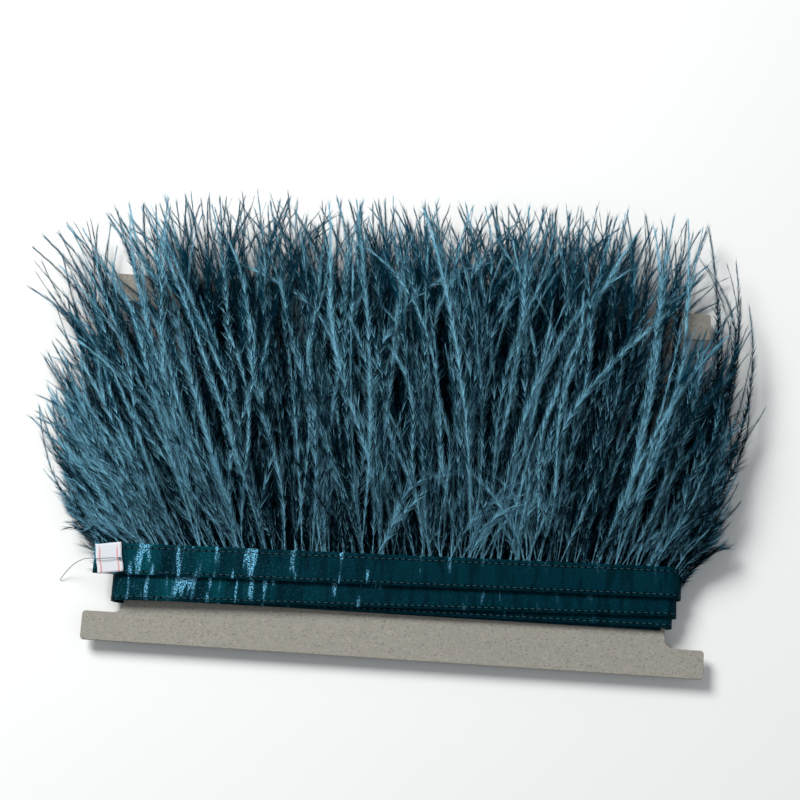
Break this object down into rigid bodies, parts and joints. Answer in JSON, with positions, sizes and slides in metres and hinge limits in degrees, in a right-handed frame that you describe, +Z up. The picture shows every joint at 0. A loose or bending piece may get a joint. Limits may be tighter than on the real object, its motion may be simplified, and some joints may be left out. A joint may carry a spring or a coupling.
{
  "type": "ostrich feather fringe trim on a winding card",
  "caption": "Two-yard feather fringe trim with a satin ribbon header, wound flat round the waist of a notched winding card.",
  "frame": {"origin": "on the table under the middle of the whole object, card and plumes together", "axes": "+X along the card, with the label end at -X; +Y from the ribbon header towards the feather tips; +Z up, out of the card's front face"},
  "size_m": [0.3366, 0.205, 0.0408],
  "materials": {
    "chipboard": "matte",
    "satin": "satin",
    "ribbon_back": "matte",
    "sewing_thread": "matte",
    "plumes": "matte",
    "woven_label": "matte",
    "grey_thread": "matte"
  },
  "bodies": {
    "card": {"winding_card": "chipboard"},
    "trim": {"back_pass_1_plume_1": "plumes", "back_pass_1_plume_2": "plumes", "back_pass_1_plume_3": "plumes", "back_pass_2_plume_1": "plumes", "back_pass_2_plume_2": "plumes", "back_pass_2_plume_3": "plumes", "back_pass_3_plume_1": "plumes", "back_pass_3_plume_2": "plumes", "back_pass_3_plume_3": "plumes", "end_label": "woven_label", "front_pass_1_plume_1": "plumes", "front_pass_1_plume_2": "plumes", "front_pass_1_plume_3": "plumes", "front_pass_1_plume_4": "plumes", "front_pass_1_plume_5": "plumes", "front_pass_2_plume_1": "plumes", "front_pass_2_plume_2": "plumes", "front_pass_2_plume_3": "plumes", "front_pass_2_plume_4": "plumes", "front_pass_2_plume_5": "plumes", "front_pass_3_plume_1": "plumes", "front_pass_3_plume_2": "plumes", "front_pass_3_plume_3": "plumes", "front_pass_3_plume_4": "plumes", "front_pass_3_plume_5": "plumes", "front_pass_4_plume_1": "plumes", "front_pass_4_plume_2": "plumes", "front_pass_4_plume_3": "plumes", "front_pass_4_plume_4": "plumes", "front_pass_4_plume_5": "plumes", "header_backing_ribbon": "ribbon_back", "header_face_ribbon": "satin", "label_tack_knot": "grey_thread", "loose_thread": "grey_thread", "lower_seam_thread": "sewing_thread", "upper_seam_thread": "sewing_thread"}
  },
  "joints": [
    {"name": "trim_slide", "type": "slide", "parent": "card", "child": "trim", "axis": [0, 1, 0], "range_m": [0, 0.1]}
  ]
}
